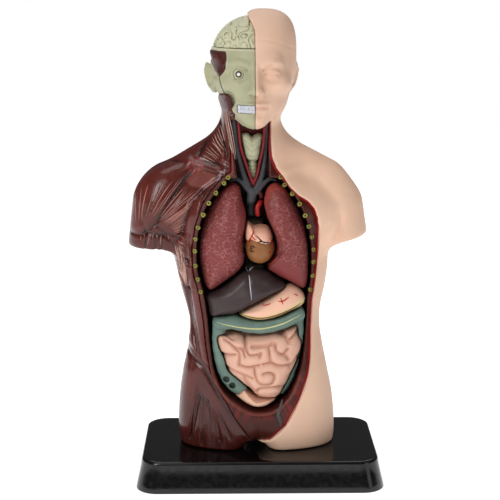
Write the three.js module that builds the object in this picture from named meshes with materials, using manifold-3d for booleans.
// A desk-size human torso anatomy model on a stand. One side of the body wears skin and the other shows
// muscle, the front is open over a tub of organs, and the organs and half of the brain lift out of it.
// Millimetres. +Z is up, the figure faces -Y, and the origin is under the body's midline, on the table.
import * as THREE from "three";
import { mergeVertices } from "three/addons/utils/BufferGeometryUtils.js";
import Module from "manifold-3d";

const wasm = await Module();
wasm.setup();

// ---------- driving dimensions ----------
const FIT_GAP = 0.3; // between neighbouring pieces
const SHELL_WALL = 3; // moulded wall of the hollow body
const BASE = { width: 148, depth: 86, height: 18, inset: 4.6, corner: 13, wall: 3, shiftX: 3 };
const BODY_FLOOR = BASE.height + FIT_GAP; // the thighs are cut off here
const TUB_FLOOR_Y = 11; // how far back the body cavity reaches
const TUB_WALL = 2.5;
const TUB_RECESS = 1.4; // the tub's flange lies this far under the skin
const DRAFT = { from: -6, perMm: 0.0092 }; // the tub narrows towards its floor, so that it leaves its mould
const ORGAN_BACK_Y = -6; // flat backs of the organs that lift out
const ORGAN_WAIST_Y = -10; // where they are widest
const BOW = 0.0065; // fronts of the organs follow the roundness of the chest
const PEG = { radius: 1.8, x: -1, hole: 2.2, tip: 3.5 };
const SPINE = { y: 5.5, radius: 6.2, disc: 7, pitch: 8.8, bottom: 52, top: 181 };
const NECK_TOP = 240;
const SKULL = { at: [-0.5, 4.5, 251.5], radii: [25, 30.5, 28.5] };
const HEAD_CENTRE = [-0.5, 2, 246];
const BRAIN_FLOOR = 258; // the skull cap is sawn off here
const SCREW = { x: 23, y: 2, shaft: 1.5, head: 3.2, boss: 4.4 };

// ---------- fields: signed distances, roughly in mm, negative inside ----------
const smoothUnion = (a, b, blend) => {
  const h = Math.max(blend - Math.abs(a - b), 0) / blend;
  return Math.min(a, b) - (h * h * blend) / 4;
};
const smoothCut = (a, b, blend) => -smoothUnion(-a, b, blend);
const smoothStep = (low, high, value) => {
  const t = Math.min(Math.max((value - low) / (high - low), 0), 1);
  return t * t * (3 - 2 * t);
};
const ellipsoid = ([x, y, z], [cx, cy, cz], [rx, ry, rz]) =>
  (Math.hypot((x - cx) / rx, (y - cy) / ry, (z - cz) / rz) - 1) * Math.min(rx, ry, rz);

// A rod with round ends and a radius that changes evenly from one end to the other.
function taperedRod([x, y, z], a, b, radiusA, radiusB) {
  const along = [b[0] - a[0], b[1] - a[1], b[2] - a[2]];
  const from = [x - a[0], y - a[1], z - a[2]];
  const dot = from[0] * along[0] + from[1] * along[1] + from[2] * along[2];
  const t = Math.min(Math.max(dot / (along[0] ** 2 + along[1] ** 2 + along[2] ** 2), 0), 1);
  const gap = Math.hypot(from[0] - t * along[0], from[1] - t * along[1], from[2] - t * along[2]);
  return gap - (radiusA + t * (radiusB - radiusA));
}

// The trunk and neck by height: [z, right edge x, left edge x, front y, back y].
const TRUNK = [
  [10, -44, 47, -20, 21],
  [26, -46, 49, -24, 25],
  [47, -45.4, 47.8, -26, 28],
  [66, -42.6, 44.2, -26, 25],
  [82, -39.8, 41, -25, 21],
  [93, -38.2, 39.3, -24.5, 20],
  [104, -39.7, 39.5, -25.5, 21],
  [119, -44.4, 42.4, -27.5, 24],
  [134, -47.6, 43.9, -29, 27],
  [150, -46, 43, -29.5, 28.5],
  [165, -43, 41, -28, 28],
  [180, -37, 34, -24, 26],
  [192, -28, 25, -19, 24],
  [203, -22, 18.5, -16, 22],
  [214, -20, 15.5, -14.5, 20.5],
  [230, -18, 14.5, -12, 20],
  [250, -17, 15, -8, 20],
];

// A smooth value from a table's column at a height, by cubic spans that pass through every row.
function atHeight(table, z, column) {
  const last = table.length - 1;
  if (z <= table[0][0]) return table[0][column];
  if (z >= table[last][0]) return table[last][column];
  const i = table.findIndex((row) => row[0] > z) - 1;
  const slope = (k) => {
    const low = table[Math.max(k - 1, 0)];
    const high = table[Math.min(k + 1, last)];
    return (high[column] - low[column]) / (high[0] - low[0]);
  };
  const [a, b] = [table[i], table[i + 1]];
  const span = b[0] - a[0];
  const t = (z - a[0]) / span;
  return (
    (2 * t ** 3 - 3 * t ** 2 + 1) * a[column] +
    (t ** 3 - 2 * t ** 2 + t) * span * slope(i) +
    (3 * t ** 2 - 2 * t ** 3) * b[column] +
    (t ** 3 - t ** 2) * span * slope(i + 1)
  );
}

function trunkField([x, y, z]) {
  const [right, left, front, back] = [1, 2, 3, 4].map((column) => atHeight(TRUNK, z, column));
  const halfWidth = (left - right) / 2;
  const halfDepth = (back - front) / 2;
  const across = Math.abs(x - (left + right) / 2) / halfWidth;
  const through = Math.abs(y - (front + back) / 2) / halfDepth;
  const power = 2.3;
  const column = ((across ** power + through ** power) ** (1 / power) - 1) * halfDepth;
  return Math.max(column, z - NECK_TOP);
}

// The upper-arm stumps end in a cut just above the armpit, a little higher on the outside.
function armField(p) {
  const right = smoothUnion(
    taperedRod(p, [-53.5, 2, 167], [-58.5, 2, 132], 18.8, 18),
    taperedRod(p, [-10, 5, 203], [-48, 3, 177.2], 11, 13.9),
    10,
  );
  const left = smoothUnion(
    taperedRod(p, [46.3, 2, 164.5], [51.5, 2, 132], 18.4, 18.2),
    taperedRod(p, [5, 5, 202], [40.5, 3, 180.3], 10, 12.8),
    10,
  );
  const rightCut = 140.8 - p[2];
  const leftCut = 145.6 - p[2] + 0.18 * (p[0] - 55);
  return Math.min(smoothCut(right, -rightCut, 3), smoothCut(left, -leftCut, 3));
}

// Broad forms of the trunk: chest, buttocks, shoulder blades, and the furrow down the back.
function torsoField(p) {
  let field = smoothUnion(trunkField(p), armField(p), 9);
  for (const side of [-1, 1]) {
    field = smoothUnion(field, ellipsoid(p, [side * 21, -15, 163], [20, 13, 14]), 8);
    field = smoothUnion(field, ellipsoid(p, [side * 20, 15, 44], [20, 15, 21]), 8);
    field = smoothUnion(field, ellipsoid(p, [side * 24, 18, 160], [15, 11.5, 22]), 8);
  }
  field = smoothCut(field, taperedRod(p, [0, 33, 78], [0, 35, 185], 4.5, 4.5), 8);
  return smoothCut(field, taperedRod(p, [0.5, -28, 14], [0.5, 33, 12], 9, 9), 10);
}

// Skull, face and jaw on plain mannequin proportions.
function headField(p) {
  const squarer = p[0] > SKULL.at[0] && p[2] > SKULL.at[2]; // the crown on the skin side
  const power = squarer ? 3.4 : 2;
  const [u, v, w] = p.map((value, axis) => Math.abs(value - SKULL.at[axis]) / SKULL.radii[axis]);
  let field = (Math.hypot((u ** power + w ** power) ** (1 / power), v) - 1) * 25;
  field = smoothUnion(field, ellipsoid(p, [-0.3, -5, 237], [20, 23.5, 21]), 8);
  field = smoothUnion(field, ellipsoid(p, [-0.3, -9, 225.2], [16, 17, 10]), 6);
  field = smoothUnion(field, ellipsoid(p, [0, -21, 217.4], [6.5, 6, 4.8]), 5);
  field = smoothUnion(field, taperedRod(p, [-10, -21.5, 249.5], [10, -21.5, 249.5], 4.2, 4.2), 5);
  for (const side of [-1, 1]) {
    field = smoothUnion(field, ellipsoid(p, [side * 13.5, -18, 238.5], [6, 7, 4.5]), 5);
    field = smoothCut(field, ellipsoid(p, [side * 9.4, -30.5, 244.2], [5.6, 4.6, 3.6]), 3.5);
    field = smoothUnion(field, ellipsoid(p, [side * 3.1, -30.6, 234.2], [2.2, 2.8, 1.9]), 1.6);
  }
  field = smoothUnion(field, taperedRod(p, [0, -26.8, 247], [0, -33, 235.6], 2.2, 2.9), 2.5);
  field = smoothUnion(field, ellipsoid(p, [0, -26.8, 227.2], [6, 2.6, 1.7]), 1.6);
  return smoothUnion(field, ellipsoid(p, [0, -26.4, 223.9], [5.2, 2.7, 1.9]), 1.6);
}

const bodyField = (p) => smoothUnion(torsoField(p), headField(p), 5);

// ---------- solids ----------
const solidFrom = (geometry) => {
  const bare = geometry.clone();
  bare.deleteAttribute("normal");
  bare.deleteAttribute("uv");
  const merged = mergeVertices(bare, 1e-4);
  return new wasm.Manifold(
    new wasm.Mesh({
      numProp: 3,
      vertProperties: new Float32Array(merged.attributes.position.array),
      triVerts: new Uint32Array(merged.index.array),
    }),
  );
};

const geometryFrom = (solid) => {
  const { numProp, vertProperties, triVerts } = solid.getMesh();
  const positions = new Float32Array((vertProperties.length / numProp) * 3);
  for (let i = 0; i < positions.length / 3; i += 1) {
    positions.set(vertProperties.subarray(i * numProp, i * numProp + 3), i * 3);
  }
  const geometry = new THREE.BufferGeometry();
  geometry.setAttribute("position", new THREE.BufferAttribute(positions, 3));
  geometry.setIndex(new THREE.BufferAttribute(new Uint32Array(triVerts), 1));
  geometry.computeVertexNormals();
  return geometry;
};

// Moves every vertex of a three.js geometry by a function of its place.
function reshaped(geometry, move) {
  const place = geometry.attributes.position;
  const point = new THREE.Vector3();
  for (let i = 0; i < place.count; i += 1) {
    point.fromBufferAttribute(place, i);
    const [x, y, z] = move(point);
    place.setXYZ(i, x, y, z);
  }
  return geometry;
}

// The distance from a start to where a field's surface is last crossed along a direction.
function reach(field, start, direction, farthest, level = 0) {
  const at = (r) => field(start.map((value, axis) => value + r * direction[axis])) - level;
  const step = 2;
  let outside = farthest;
  while (outside > step && at(outside - step) > 0) outside -= step;
  let inside = Math.max(outside - step, 0);
  for (let i = 0; i < 14; i += 1) {
    const middle = (inside + outside) / 2;
    if (at(middle) > 0) outside = middle;
    else inside = middle;
  }
  return (inside + outside) / 2;
}

// A stack of level sections, each found by looking outwards from the body's middle.
function stackedSolid(field, low, high, levels, around, level = 0) {
  const cylinder = new THREE.CylinderGeometry(1, 1, 1, around, levels);
  return solidFrom(
    reshaped(cylinder, (v) => {
      const z = low + (v.y + 0.5) * (high - low);
      const radius = Math.hypot(v.x, v.z);
      if (radius < 0.5) return [0, 2, z];
      const direction = [v.x / radius, -v.z / radius, 0];
      const r = reach(field, [0, 2, z], direction, 96, level);
      return [r * direction[0], 2 + r * direction[1], z];
    }),
  );
}

function headSolid(offset, around = 30, rings = 22) {
  const sphere = new THREE.SphereGeometry(1, around, rings);
  return solidFrom(
    reshaped(sphere, (v) => {
      const direction = [v.x, -v.z, v.y];
      const r = reach(bodyField, HEAD_CENTRE, direction, 46, offset);
      return HEAD_CENTRE.map((value, axis) => value + r * direction[axis]);
    }),
  );
}

const shapeFrom = (points) => new THREE.Shape(points.map(([u, v]) => new THREE.Vector2(u, v)));

// A front-view outline in x and z, carried through from frontY to backY.
function frontPrism(points, frontY, backY, steps = 1) {
  const geometry = new THREE.ExtrudeGeometry(shapeFrom(points), {
    depth: backY - frontY,
    steps,
    bevelEnabled: false,
  });
  const turn = new THREE.Matrix4().makeBasis(
    new THREE.Vector3(1, 0, 0),
    new THREE.Vector3(0, 0, 1),
    new THREE.Vector3(0, -1, 0),
  );
  return geometry.applyMatrix4(turn).translate(0, backY, 0);
}

// A side-view outline in y and z, carried across from one x to another.
function sidePrism(points, fromX, toX) {
  const geometry = new THREE.ExtrudeGeometry(shapeFrom(points), {
    depth: toX - fromX,
    bevelEnabled: false,
  });
  const turn = new THREE.Matrix4().makeBasis(
    new THREE.Vector3(0, 1, 0),
    new THREE.Vector3(0, 0, 1),
    new THREE.Vector3(1, 0, 0),
  );
  return solidFrom(geometry.applyMatrix4(turn).translate(fromX, 0, 0));
}

const block = ([x0, y0, z0], [x1, y1, z1]) =>
  solidFrom(
    new THREE.BoxGeometry(x1 - x0, y1 - y0, z1 - z0).translate((x0 + x1) / 2, (y0 + y1) / 2, (z0 + z1) / 2),
  );

const rodAlongY = (x, z, fromY, toY, radius, sides = 12) =>
  solidFrom(
    new THREE.CylinderGeometry(radius, radius, toY - fromY, sides).translate(x, (fromY + toY) / 2, z),
  );

const rodAlongZ = (x, y, fromZ, toZ, radius, sides = 16) =>
  solidFrom(
    new THREE.CylinderGeometry(radius, radius, toZ - fromZ, sides)
      .rotateX(Math.PI / 2)
      .translate(x, y, (fromZ + toZ) / 2),
  );

const ball = ([x, y, z], [rx, ry, rz], around = 16, rings = 10) =>
  solidFrom(new THREE.SphereGeometry(1, around, rings).scale(rx, ry, rz).translate(x, y, z));

// A tube along a smooth curve through some points, with a round section of so many sides.
function tube(points, radius, steps, sides = 8) {
  const ring = new THREE.Shape();
  for (let i = 0; i < sides; i += 1) {
    const turn = (2 * Math.PI * i) / sides;
    ring[i ? "lineTo" : "moveTo"](radius * Math.cos(turn), radius * Math.sin(turn));
  }
  const path = new THREE.CatmullRomCurve3(points.map((p) => new THREE.Vector3(...p)));
  return solidFrom(new THREE.ExtrudeGeometry(ring, { extrudePath: path, steps, bevelEnabled: false }));
}

const closedCurve = (points) =>
  new THREE.CatmullRomCurve3(
    points.map(([x, z]) => new THREE.Vector3(x, 0, z)),
    true,
    "centripetal",
  );

const smoothOutline = (points, count) =>
  closedCurve(points).getSpacedPoints(count).slice(0, -1).map((p) => [p.x, p.z]);

// The radius of a closed outline seen from a point inside it, as a function of the angle.
function polarRadius(points, [cx, cz]) {
  const samples = closedCurve(points)
    .getSpacedPoints(240)
    .slice(0, -1)
    .map((p) => ({ angle: Math.atan2(p.z - cz, p.x - cx), radius: Math.hypot(p.x - cx, p.z - cz) }))
    .sort((a, b) => a.angle - b.angle);
  return (angle) => {
    const next = samples.findIndex((sample) => sample.angle >= angle);
    const b = samples[next < 0 ? 0 : next];
    const a = samples[(next <= 0 ? samples.length : next) - 1];
    const span = (b.angle - a.angle + 2 * Math.PI) % (2 * Math.PI);
    const t = span ? ((angle - a.angle + 2 * Math.PI) % (2 * Math.PI)) / span : 0;
    return a.radius + t * (b.radius - a.radius);
  };
}

// A domed organ: a front-view outline filled out to a rounded front and a flatter back.
function domed({
  outline, centre, front, back, waist = ORGAN_WAIST_Y, roundness = 2.4, around = 26, rings = 10, grow = 0,
}) {
  const radius = polarRadius(outline, centre);
  const sphere = new THREE.SphereGeometry(1, around, rings);
  const backRoundness = 5;
  return solidFrom(
    reshaped(sphere, (v) => {
      const side = Math.hypot(v.x, v.z);
      const power = 2 / (v.y > 0 ? roundness : backRoundness);
      const angle = Math.atan2(-v.z, v.x);
      const spread = side < 1e-6 ? 0 : (radius(angle) + grow) * side ** power;
      const depth = Math.abs(v.y) ** power;
      const x = centre[0] + spread * Math.cos(angle);
      const z = centre[1] + spread * Math.sin(angle);
      const y = v.y > 0 ? waist + (front - waist + BOW * x * x) * depth : waist + (back - waist) * depth;
      return [x, y, z];
    }),
  );
}

// Moves every edge of an outline outwards by a distance.
function offsetOutline(points, by) {
  const turn = Math.sign(THREE.ShapeUtils.area(points.map(([x, z]) => new THREE.Vector2(x, z))));
  const normal = ([ax, az], [bx, bz]) => {
    const length = turn * Math.hypot(bx - ax, bz - az);
    return [(bz - az) / length, (ax - bx) / length];
  };
  return points.map((point, i) => {
    const before = normal(points.at(i - 1), point);
    const after = normal(point, points[(i + 1) % points.length]);
    const sum = [before[0] + after[0], before[1] + after[1]];
    const scale = by / Math.max(0.4, (sum[0] ** 2 + sum[1] ** 2) / 2);
    return [point[0] + sum[0] * scale, point[1] + sum[1] * scale];
  });
}

// ---------- outlines in the front view ----------
// The cut edge of the skin, from under the chin down to the crotch.
const SKIN_EDGE = [
  [8.6, 216.5], [8.8, 206], [9.4, 196], [12, 189.5], [16, 184.5], [20, 178.7], [25, 174.4], [30.5, 171],
  [33.9, 167], [35.9, 161], [36.6, 153], [36.6, 142], [35.5, 125], [33.6, 111], [33, 95], [32.7, 76],
  [31.2, 65], [26.2, 51], [18, 35], [9, 26], [0, 23],
];
// The rim of the body cavity, anticlockwise from the bottom.
const CAVITY = [
  [1, 43.6], [10.5, 44.6], [18.6, 50.6], [25, 62.5], [29, 78], [30.3, 94], [31, 111], [32.6, 122],
  [33.1, 134], [32.4, 147], [28.9, 162.5], [22.6, 174.2], [15, 183], [8.4, 184.4], [-10.2, 184.4],
  [-16.4, 183],
  [-22.6, 176.2], [-28.4, 167.8], [-32, 156.6], [-33.9, 143], [-33.4, 129], [-30.4, 117], [-28, 101],
  [-26.6, 85], [-24, 68], [-19.8, 58], [-10.6, 49],
];
const NECK_SLOT = [[7.9, 183], [7.9, 218], [-13.2, 218], [-13.2, 203], [-11.2, 192], [-10, 183]];
const LUNG_RIGHT = [
  [-12.2, 180.2], [-9.2, 178.5], [-7.2, 170.6], [-5.2, 163], [-5.1, 156.5], [-6.4, 149.5], [-6.4, 141.4],
  [-5.9, 135.7], [-8, 129.5], [-17.7, 121.4], [-26.4, 115.8], [-28.8, 118], [-31.6, 128.4], [-32.9, 139],
  [-31.4, 152.4], [-27.4, 164.2], [-21.6, 173.2], [-15.8, 179.1],
];
const LUNG_LEFT = [
  [12, 180], [8, 177.8], [5.8, 171.3], [5.7, 166.6], [7.6, 159.4], [11.3, 151], [12.9, 141.4], [11.5, 135.4],
  [7.4, 130.2], [13.4, 125.1], [21.1, 121.2], [29.2, 117], [31, 120], [31.9, 128.8], [31.6, 141.4],
  [28.4, 157.8], [22.2, 170], [16, 178.4],
];
const HEART = [
  [-4.2, 157.4], [-0.8, 155], [4, 155.2], [8, 154], [10.4, 147.6], [11.8, 142], [9, 135.3], [3.8, 132.8],
  [-1.4, 133.8], [-4.7, 137.9], [-5.4, 146.8],
];
const LIVER = [
  [-4.8, 130.2], [5, 130.2], [12.6, 123.7], [18, 119.6], [9.4, 114.4], [3.4, 111.2], [-2.8, 108.1],
  [-9.4, 104.4], [-14, 102.7], [-21.4, 101.6], [-26, 100.9], [-27.8, 107.2], [-28.8, 113], [-22.6, 116.2],
  [-17.7, 119.2],
];
const STOMACH = [
  [19, 118.6], [22.6, 119], [27, 116.4], [29.9, 111.9], [29, 108.2], [22, 104.6], [12.8, 101],
  [2.7, 99.2], [-4.8, 100.2], [-9.6, 102.6], [-2.6, 106.9], [4, 110.2], [9.8, 113.6],
];
const SMALL_INTESTINE = [
  [-22.6, 90.4], [-13.5, 91], [-5, 89.6], [4, 89.8], [15, 91.7], [24.6, 94.2], [26, 88.2], [27.5, 84.8],
  [26.3, 75.4], [22.2, 67.2], [17.6, 57.4], [13, 50.9], [2, 51.2], [-3, 56], [-8.9, 61.6], [-17, 69],
  [-18.4, 75.2],
  [-22.4, 84],
];
const RECTUM_TURN = [
  [-12, 53], [-7, 48.2], [-0.6, 45.2], [6, 45], [11, 47.4], [13, 49.6], [2, 49.8], [-4.4, 54.2], [-8.8, 57.8],
];

// ---------- materials ----------
const paint = (color, roughness, metalness = 0) =>
  new THREE.MeshStandardMaterial({ color, roughness, metalness });
const PAINT = {
  stand: paint(0x17171a, 0.18),
  skin: paint(0xe0b596, 0.55),
  muscle: paint(0x5c2a22, 0.38),
  lining: paint(0x4a1d18, 0.45),
  bone: paint(0xb9b88f, 0.5),
  brain: paint(0xbebc9b, 0.5),
  cartilage: paint(0xa8a788, 0.5),
  artery: paint(0xa32222, 0.35),
  vein: paint(0x3c3c40, 0.35),
  lung: paint(0x8b4744, 0.45),
  heart: paint(0xc78f68, 0.4),
  liver: paint(0x3c3132, 0.35),
  stomach: paint(0xdcaf94, 0.45),
  colon: paint(0x5f7a6e, 0.42),
  bowel: paint(0xd9a992, 0.5),
  kidney: paint(0x7a3530, 0.42),
  white: paint(0xe8e6e2, 0.35),
  steel: paint(0x9a9ca0, 0.35, 0.9),
};

const model = new THREE.Group();
function add(name, solid, material) {
  const mesh = new THREE.Mesh(geometryFrom(solid), material);
  mesh.name = name;
  model.add(mesh);
}

// ---------- stand ----------
// A rounded rectangle that leans inwards as it rises and ends in a small rounded edge.
function taperedPlinth(width, depth, corner, bottom, top, inset, edge) {
  const [hw, hd] = [width / 2, depth / 2];
  const outline = new THREE.Shape();
  outline.moveTo(-hw + corner, -hd);
  outline.lineTo(hw - corner, -hd).absarc(hw - corner, -hd + corner, corner, -Math.PI / 2, 0, false);
  outline.lineTo(hw, hd - corner).absarc(hw - corner, hd - corner, corner, 0, Math.PI / 2, false);
  outline.lineTo(-hw + corner, hd).absarc(-hw + corner, hd - corner, corner, Math.PI / 2, Math.PI, false);
  outline.lineTo(-hw, -hd + corner).absarc(-hw + corner, -hd + corner, corner, Math.PI, 1.5 * Math.PI, false);
  const height = top - bottom;
  const rise = [
    [0, 0], [height - edge, inset - edge], [height - 0.3 * edge, inset - 0.7 * edge], [height, inset],
  ];
  const steps = { depth: 3, steps: 3, curveSegments: 5, bevelEnabled: false };
  const geometry = new THREE.ExtrudeGeometry(outline, steps);
  return solidFrom(
    reshaped(geometry, (v) => {
      const [z, shrink] = rise[Math.round(v.z)];
      return [v.x * (1 - shrink / hw) + BASE.shiftX, v.y * (1 - shrink / hd), bottom + z];
    }),
  );
}

function standSolid() {
  const outer = taperedPlinth(BASE.width, BASE.depth, BASE.corner, 0, BASE.height, BASE.inset, 1.4);
  const inner = taperedPlinth(
    BASE.width - 2 * BASE.wall, BASE.depth - 2 * BASE.wall, BASE.corner - BASE.wall,
    -1, BASE.height - BASE.wall, BASE.inset, 0.6,
  );
  let stand = outer.subtract(inner);
  for (const side of [-1, 1]) {
    stand = stand.add(rodAlongZ(side * SCREW.x, SCREW.y, 8, BASE.height - 1, SCREW.boss));
    stand = stand.subtract(rodAlongZ(side * SCREW.x, SCREW.y, 0, 30, SCREW.shaft + FIT_GAP));
  }
  return stand;
}

// ---------- hollow body ----------
// Where the head is parted from the neck, in the side view: below the jaw, then up behind it.
const JAW_LINE = [[-60, 211.6], [-15.5, 211.6], [-15, 218.5], [4, 231], [70, 231]];
const aboveJaw = sidePrism(offsetOutline([...JAW_LINE, [70, 300], [-60, 300]], -FIT_GAP / 2), -100, 100);
const belowJawOutline = [[-60, 0], [70, 0], ...JAW_LINE.toReversed()];
const belowJaw = sidePrism(offsetOutline(belowJawOutline, -FIT_GAP / 2), -100, 100);

// The tub fills the opening in the front. On the left side it reaches out to the cut edge of the skin.
const RIM = 2.6;
const TUB = [
  [0, 23],
  ...SKIN_EDGE.toReversed().slice(1),
  [-14.6, 216.5],
  [-13.6, 188],
  ...offsetOutline(CAVITY, RIM).filter(([x, z]) => x < -5 && z < 185 && z > 68),
  [-24.6, 64.6],
  [-18.6, 53],
  [-12.4, 41.4],
  [-6.2, 31.6],
];
const narrowed = (geometry) =>
  reshaped(geometry, (v) => [v.x * (1 - DRAFT.perMm * Math.max(v.y - DRAFT.from, 0)), v.y, v.z]);
const tubBlock = (grow, floorY) => solidFrom(narrowed(frontPrism(offsetOutline(TUB, grow), -60, floorY, 6)));

const torsoSolid = stackedSolid(bodyField, BODY_FLOOR, 236, 40, 44).intersect(belowJaw);
const innerBody = stackedSolid(bodyField, BODY_FLOOR + SHELL_WALL, 224, 16, 22, -SHELL_WALL);
const underSkin = stackedSolid(bodyField, BODY_FLOOR - 2, 217, 28, 34, -TUB_RECESS);
const pocket = tubBlock(FIT_GAP, TUB_FLOOR_Y + TUB_WALL + FIT_GAP);

function torsoHalf(side) {
  const rightSide = block([-100, -60, 0], [-FIT_GAP / 2, 70, 260]);
  const keep = side < 0 ? rightSide : block([FIT_GAP / 2, -60, 0], [100, 70, 260]);
  const boss = rodAlongZ(side * SCREW.x, SCREW.y, BODY_FLOOR + 1, BODY_FLOOR + 12, SCREW.boss);
  const hole = rodAlongZ(side * SCREW.x, SCREW.y, 0, BODY_FLOOR + 11, SCREW.shaft + FIT_GAP);
  return torsoSolid.subtract(innerBody.subtract(boss)).subtract(hole).subtract(pocket).intersect(keep);
}

// ---------- tub ----------
const cavityCut = solidFrom(narrowed(frontPrism(smoothOutline(CAVITY, 60), -60, TUB_FLOOR_Y, 6)));
const NECK_FLOOR_Y = -2.5;
const neckCut = solidFrom(frontPrism(NECK_SLOT, -60, NECK_FLOOR_Y));

function tubSolid() {
  const outer = tubBlock(0, TUB_FLOOR_Y + TUB_WALL).intersect(underSkin).intersect(belowJaw);
  return outer.subtract(cavityCut).subtract(neckCut);
}

// ---------- head ----------
// The skin side's cut runs down the midline, and leans over towards the muscle side at the crown.
const CROWN_LEAN = 7;
function midCut(shift) {
  const face = [];
  for (let z = 200; z <= 290; z += z < 262 ? 62 : 4) {
    face.push([shift - CROWN_LEAN * smoothStep(266, 284, z), z]);
  }
  return frontPrism([...face, [60, 290], [60, 200]].reverse(), -60, 60);
}
const headWhole = headSolid(0).intersect(aboveJaw);
const skinSideBlock = solidFrom(midCut(FIT_GAP / 2));
const notSkinSide = solidFrom(midCut(-FIT_GAP / 2));
const EAR = { [-1]: [-25.4, 7, 239.4], 1: [22.2, 7, 239.4] };
const ear = (side) =>
  solidFrom(
    new THREE.SphereGeometry(1, 12, 8)
      .scale(2.4, 6.2, 9.8)
      .rotateX(-0.12)
      .rotateZ(side * -0.3)
      .rotateY(side * 0.24)
      .translate(...EAR[side]),
  );

const TEMPLE = [[-23, 246], [-20.2, 242.4], [-16.6, 246.8], [-16, 250], [-16.8, 256], [-26.5, 256]];
const CHEEK = [
  [-21, 226], [-18, 219.6], [-11.8, 219.8], [-11.2, 227.2], [-13.2, 231.4], [-17.4, 232.4], [-20.5, 231],
];
const TOOTH_BLOCK = [[-10, -36, 222.4], [-0.5, -20.6, 226.7]];
const EYEBALL = { at: [-9.4, -22.6, 244.2], radius: 4.4 };

function skullSide() {
  const skullCap = block([-60, -60, BRAIN_FLOOR], [60, 60, 300]);
  const temple = solidFrom(frontPrism(TEMPLE, -20, 14));
  const cheek = solidFrom(frontPrism(CHEEK, -20, 8));
  const surface = headSolid(0.5).subtract(headSolid(-1.2));
  const pit = headSolid(2).subtract(headSolid(-1.2 - FIT_GAP));
  const grown = (outline, from, to) =>
    solidFrom(frontPrism(offsetOutline(outline, FIT_GAP), from, to));
  const teethGap = block([-10.3, -40, 222.1], [1, -20.3, 227]);
  let skull = headWhole.add(ear(-1).intersect(aboveJaw)).subtract(notSkinSide).subtract(skullCap);
  const [templePit, cheekPit] = [grown(TEMPLE, -20.3, 14.3), grown(CHEEK, -20.3, 8.3)];
  skull = skull.subtract(pit.intersect(templePit)).subtract(pit.intersect(cheekPit));
  skull = skull.subtract(teethGap).subtract(ball(EYEBALL.at, Array(3).fill(EYEBALL.radius + FIT_GAP)));
  const muscle = (outline) => surface.intersect(outline).subtract(notSkinSide).intersect(aboveJaw);
  const largest = (solid) => solid.decompose().sort((a, b) => b.volume() - a.volume())[0];
  return {
    skull: largest(skull),
    temple: largest(muscle(temple).subtract(block([-60, -60, BRAIN_FLOOR - FIT_GAP], [60, 60, 300]))),
    cheek: largest(muscle(cheek)),
    teeth: largest(headSolid(0.4).intersect(block(...TOOTH_BLOCK))),
  };
}

// The brain lies a little under the skull's surface, and lower still at the crown.
const BRAIN_INSET = [0.4, 1, 4];
function brainSolid() {
  const dome = solidFrom(
    new THREE.SphereGeometry(1, 30, 20)
      .rotateX(Math.PI / 2)
      .scale(...SKULL.radii.map((radius, axis) => radius - BRAIN_INSET[axis]))
      .translate(...SKULL.at),
  );
  const above = block([-60, -60, BRAIN_FLOOR + FIT_GAP], [60, 60, 300]);
  return dome.intersect(above).subtract(notSkinSide);
}

// ---------- organs that lift out ----------
const pegFor = (z) => rodAlongY(PEG.x, z, ORGAN_BACK_Y - 3, PEG.tip, PEG.radius);
const PEG_HEIGHTS = { heart: 146, liver: 119, stomach: 103.6, bowel: 76 };
const LUNG_PEGS = { right: [-19, 150], left: [21, 150] };

const BOWEL_PLATE_Y = -8.6;
const ORGANS = {
  lungRight: { outline: LUNG_RIGHT, centre: [-19, 147], front: -28, back: ORGAN_BACK_Y },
  lungLeft: { outline: LUNG_LEFT, centre: [20.5, 147], front: -28, back: ORGAN_BACK_Y },
  heart: { outline: HEART, centre: [3, 144.6], front: -26.5, back: ORGAN_BACK_Y, around: 20 },
  liver: { outline: LIVER, centre: [-9, 114.4], front: -26.5, back: ORGAN_BACK_Y, roundness: 3.4 },
  stomach: { outline: STOMACH, centre: [14.5, 108.4], front: -26, back: ORGAN_BACK_Y, roundness: 3.4 },
  smallIntestine: {
    outline: SMALL_INTESTINE, centre: [3.5, 75], front: -28, back: BOWEL_PLATE_Y - 0.4, waist: -12,
    roundness: 3,
  },
  rectumTurn: {
    outline: RECTUM_TURN, centre: [0, 48.6], front: -23, back: BOWEL_PLATE_Y - 0.4, waist: -11, around: 20,
  },
};

// The colon frames the small intestine: up the right side, across, and down the left side. It is a half
// round ridge on a plate, and the small intestine sits inside the frame.
const COLON_UP = [[-9.6, 56.6], [-14, 60.2], [-17.8, 67], [-20.4, 77], [-21.3, 88], [-20.8, 97]];
const COLON_ACROSS = [[-20.8, 97.6], [-13, 98.2], [-4, 96], [6, 95.6], [16, 98.2], [25.4, 102.6]];
const COLON_DOWN = [[26, 102.6], [26.4, 94], [25.6, 83], [23, 70], [19.6, 60], [16, 54.4]];
const CAECUM = [[-8.8, 57.6], [-11.6, 61.4], [-14.2, 66], [-16.6, 71]];
const COLON_LIFT = { up: -17, across: -19.5, down: -13 };

function ridge(path, frontY, radius) {
  const curve = new THREE.CatmullRomCurve3(path.map(([x, z]) => new THREE.Vector3(x, frontY, z)));
  const sides = [[], []];
  for (let i = 0; i <= 10; i += 1) {
    const [at, along] = [curve.getPointAt(i / 10), curve.getTangentAt(i / 10)];
    sides[0].push([at.x + 0.94 * radius * along.z, at.z - 0.94 * radius * along.x]);
    sides[1].unshift([at.x - 0.94 * radius * along.z, at.z + 0.94 * radius * along.x]);
  }
  const wall = solidFrom(frontPrism([...sides[0], ...sides[1]], frontY, ORGAN_BACK_Y));
  return wall.add(tube(path.map(([x, z]) => [x, frontY, z]), radius, 10, 10));
}

const keepClear = (organ, front = organ.front) =>
  domed({ ...organ, front: front - 0.6, back: organ.back + 0.4, grow: 0.7 });
const behind = (organ) => solidFrom(frontPrism(offsetOutline(organ.outline, 0.7), -14, 0));

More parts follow.
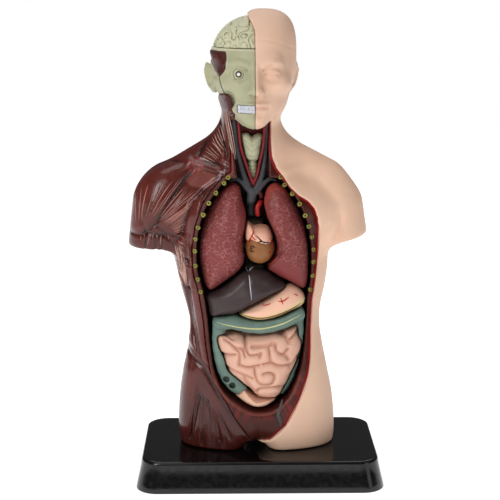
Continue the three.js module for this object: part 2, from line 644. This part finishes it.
function colonSolid() {
  const plate = solidFrom(frontPrism(offsetOutline(SMALL_INTESTINE, 0.6), BOWEL_PLATE_Y, ORGAN_BACK_Y));
  return ridge(COLON_UP, COLON_LIFT.up, 4.1)
    .add(ridge(CAECUM, COLON_LIFT.up + 0.4, 4.2))
    .add(ridge(COLON_ACROSS, COLON_LIFT.across, 4.3))
    .add(ridge(COLON_DOWN, COLON_LIFT.down, 3))
    .add(plate)
    .add(pegFor(PEG_HEIGHTS.bowel))
    .subtract(keepClear(ORGANS.smallIntestine))
    .subtract(keepClear(ORGANS.rectumTurn))
    .subtract(keepClear(ORGANS.stomach, -60))
    .subtract(keepClear(ORGANS.liver, -60))
    .subtract(behind(ORGANS.stomach))
    .subtract(behind(ORGANS.liver));
}

// ---------- what stays inside ----------
function spineSolid() {
  const profile = [new THREE.Vector2(0, SPINE.bottom)];
  for (let z = SPINE.bottom; z <= SPINE.top; z += SPINE.pitch) {
    profile.push(new THREE.Vector2(SPINE.disc, z), new THREE.Vector2(SPINE.disc, z + 0.25 * SPINE.pitch));
    profile.push(new THREE.Vector2(SPINE.radius, z + 0.6 * SPINE.pitch));
  }
  profile.push(new THREE.Vector2(0, profile.at(-1).y));
  const turned = new THREE.LatheGeometry(profile, 12).rotateX(Math.PI / 2);
  const column = solidFrom(turned.translate(0, SPINE.y, 0));
  let spine = column.subtract(block([-20, TUB_FLOOR_Y - FIT_GAP, 0], [20, 40, 300]));
  for (const z of Object.values(PEG_HEIGHTS)) spine = spine.subtract(rodAlongY(PEG.x, z, -8, 20, PEG.hole));
  return spine;
}

const backLung = (outline, centre, [pegX, pegZ]) => {
  const [cx, cz] = centre;
  const shrunk = outline.map(([x, z]) => [cx + (x - cx) * 0.72, cz + (z - cz) * 0.86]);
  const front = ORGAN_BACK_Y + 0.6;
  const lung = domed({ outline: shrunk, centre, front, back: 9.4, waist: 2, around: 20, rings: 8 });
  return lung.subtract(rodAlongY(pegX, pegZ, -10, PEG.tip + 1, PEG.hole));
};

// ---------- assembly ----------
const head = skullSide();
add("base_stand", standSolid(), PAINT.stand);
for (const [name, side] of [["base_screw_right", -1], ["base_screw_left", 1]]) {
  const shaft = rodAlongZ(side * SCREW.x, SCREW.y, 6, BODY_FLOOR + 10, SCREW.shaft, 12);
  add(name, shaft.add(rodAlongZ(side * SCREW.x, SCREW.y, 5, 7.7, SCREW.head)), PAINT.steel);
}
add("torso_muscle_shell", torsoHalf(-1), PAINT.muscle);
add("torso_skin_shell", torsoHalf(1), PAINT.skin);
add("cavity_tub", tubSolid(), PAINT.lining);
add("head_skin_half", headWhole.add(ear(1).intersect(aboveJaw)).intersect(skinSideBlock), PAINT.skin);
add("head_skull_half", head.skull, PAINT.bone);
add("temple_muscle", head.temple, PAINT.muscle);
add("cheek_muscle", head.cheek, PAINT.muscle);
add("teeth", head.teeth, PAINT.white);
add("eyeball", ball(EYEBALL.at, Array(3).fill(EYEBALL.radius), 14, 10), PAINT.white);
add("brain_half", brainSolid(), PAINT.brain);

add("larynx", domed({
  outline: [
    [-7.2, 208.4], [-4.2, 208.8], [-1.4, 207], [1.6, 208.7], [4, 208.4], [3.5, 201], [1.8, 193.6],
    [-4.2, 193.6], [-6.4, 200.4],
  ],
  centre: [-1.4, 200.8], front: -15.2, back: -3.2, waist: -8, around: 18, rings: 8,
}), PAINT.cartilage);
// Vessels and the windpipe run down the neck slot, each along its own points.
const WINDPIPE = [[-1.2, -7.6, 192], [-1, -6.8, 186], [-1, -5.6, 176], [-1, -5.4, 164]];
const JUGULARS = [
  [[-11.6, -10.8, 211], [-10.4, -10.8, 201.3], [-8.2, -11.4, 191], [-6, -12, 184], [-1.6, -12.8, 174]],
  [[6.5, -10.2, 211], [6.3, -10, 201.3], [5.4, -10.6, 191], [4, -12, 184], [-1, -12.8, 174]],
];
const VENA_CAVA = [[-1.4, -12.8, 175], [-2, -12.4, 169], [-2.3, -11.6, 159.6]];
const CAROTIDS = [
  [[-9.2, -13.2, 211], [-8.1, -13, 201.4], [-5.3, -12.4, 192], [-3, -11.6, 185.1], [-0.8, -10.2, 179]],
  [[5.3, -13, 211], [4.7, -12.8, 201.4], [2.6, -12.2, 191.1], [1.2, -11.4, 184.2], [-0.8, -10.2, 179]],
  [[-0.8, -10.2, 179.6], [1.2, -9.6, 177], [3, -8.6, 174.3], [3.8, -7.6, 171.2]],
];
const AORTIC_ARCH = [[1.8, -12, 161.4], [1.5, -13, 165.4], [2.8, -12, 168.2], [3.9, -7, 168], [3.9, -3.8, 164]];
const joined = (solids) => solids.reduce((all, solid) => all.add(solid));
const vessels = (paths, radius) => joined(paths.map((points) => tube(points, radius, 8, 8)));
add("windpipe", tube(WINDPIPE, 2.4, 8), PAINT.cartilage);
add("great_veins", vessels(JUGULARS, 1.2).add(tube(VENA_CAVA, 2.2, 6)), PAINT.vein);
add("carotid_arteries", vessels(CAROTIDS, 0.95), PAINT.artery);
add("aortic_arch", tube(AORTIC_ARCH, 1.3, 10), PAINT.artery);

const lungPeg = ([x, z]) => rodAlongY(x, z, ORGAN_BACK_Y - 3, PEG.tip, PEG.radius);
add("lung_right_front", domed(ORGANS.lungRight).add(lungPeg(LUNG_PEGS.right)), PAINT.lung);
add("lung_left_front", domed(ORGANS.lungLeft).add(lungPeg(LUNG_PEGS.left)), PAINT.lung);
add("lung_right_back", backLung(LUNG_RIGHT, [-19, 149], LUNG_PEGS.right), PAINT.lung);
add("lung_left_back", backLung(LUNG_LEFT, [20, 149], LUNG_PEGS.left), PAINT.lung);
add("heart", domed(ORGANS.heart).add(pegFor(PEG_HEIGHTS.heart)), PAINT.heart);
add("liver", domed(ORGANS.liver).add(pegFor(PEG_HEIGHTS.liver)), PAINT.liver);
add("stomach", domed(ORGANS.stomach).add(pegFor(PEG_HEIGHTS.stomach)), PAINT.stomach);
add("large_intestine", colonSolid(), PAINT.colon);
add("small_intestine", domed(ORGANS.smallIntestine), PAINT.bowel);
add("rectum_turn", domed(ORGANS.rectumTurn), PAINT.bowel);
add("spine_column", spineSolid(), PAINT.bone);
add("kidney_right", ball([-16.4, 4.4, 94], [6, 5, 11], 14, 10), PAINT.kidney);
add("kidney_left", ball([16.6, 4.4, 97], [6, 5, 11], 14, 10), PAINT.kidney);

export default model;
